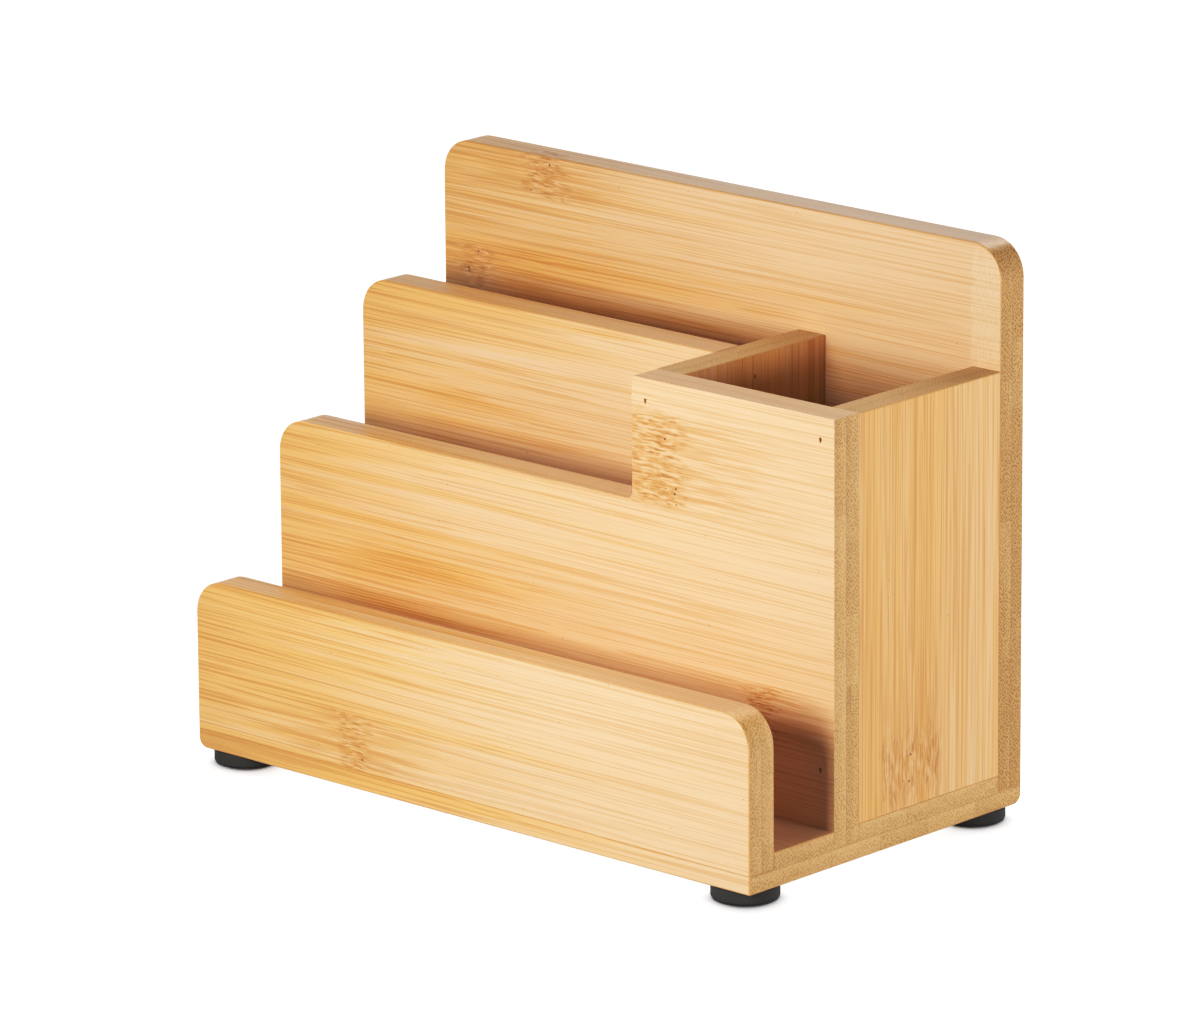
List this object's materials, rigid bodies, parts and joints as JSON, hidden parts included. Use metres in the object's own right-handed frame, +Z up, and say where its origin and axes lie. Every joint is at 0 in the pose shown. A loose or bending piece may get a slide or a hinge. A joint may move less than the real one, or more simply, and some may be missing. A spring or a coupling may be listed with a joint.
{
  "type": "desk organiser with pen cup",
  "caption": "Stepped bamboo letter sorter for a desk: upright boards on a base leave letter slots, and cross walls close a square pen cup at the right-hand end.",
  "frame": {"origin": "on the desk surface, under the middle of the holder", "axes": "+X to the right along the front, +Y towards the back panel, +Z up"},
  "size_m": [0.21, 0.1134, 0.1645],
  "materials": {
    "bamboo": "laminated bamboo board, satin clear lacquer",
    "foam_pad": "dense black foam rubber, matt",
    "adhesive": "thin adhesive layer, dark",
    "steel": "bright wire brads, dull"
  },
  "bodies": {
    "root": {"back_panel": "bamboo", "base_board": "bamboo", "brad_base_back_1": "steel", "brad_base_back_2": "steel", "brad_base_back_3": "steel", "brad_base_divider_1": "steel", "brad_base_divider_2": "steel", "brad_base_front_1": "steel", "brad_base_front_2": "steel", "brad_base_front_3": "steel", "brad_base_inner_wall_1": "steel", "brad_base_inner_wall_2": "steel", "brad_base_outer_wall_1": "steel", "brad_base_outer_wall_2": "steel", "brad_base_step_1": "steel", "brad_base_step_2": "steel", "brad_base_step_3": "steel", "brad_cup_back_inner_1": "steel", "brad_cup_back_inner_2": "steel", "brad_cup_back_outer_1": "steel", "brad_cup_back_outer_2": "steel", "brad_cup_front_inner_1": "steel", "brad_cup_front_inner_2": "steel", "brad_cup_front_outer_1": "steel", "brad_cup_front_outer_2": "steel", "brad_divider_1": "steel", "brad_divider_2": "steel", "cup_inner_wall": "bamboo", "cup_outer_wall": "bamboo", "foot_pad_back_left": "foam_pad", "foot_pad_back_right": "foam_pad", "foot_pad_front_left": "foam_pad", "foot_pad_front_right": "foam_pad", "foot_tape_back_left": "adhesive", "foot_tape_back_right": "adhesive", "foot_tape_front_left": "adhesive", "foot_tape_front_right": "adhesive", "front_panel": "bamboo", "rear_divider": "bamboo", "stepped_panel": "bamboo"}
  },
  "joints": []
}
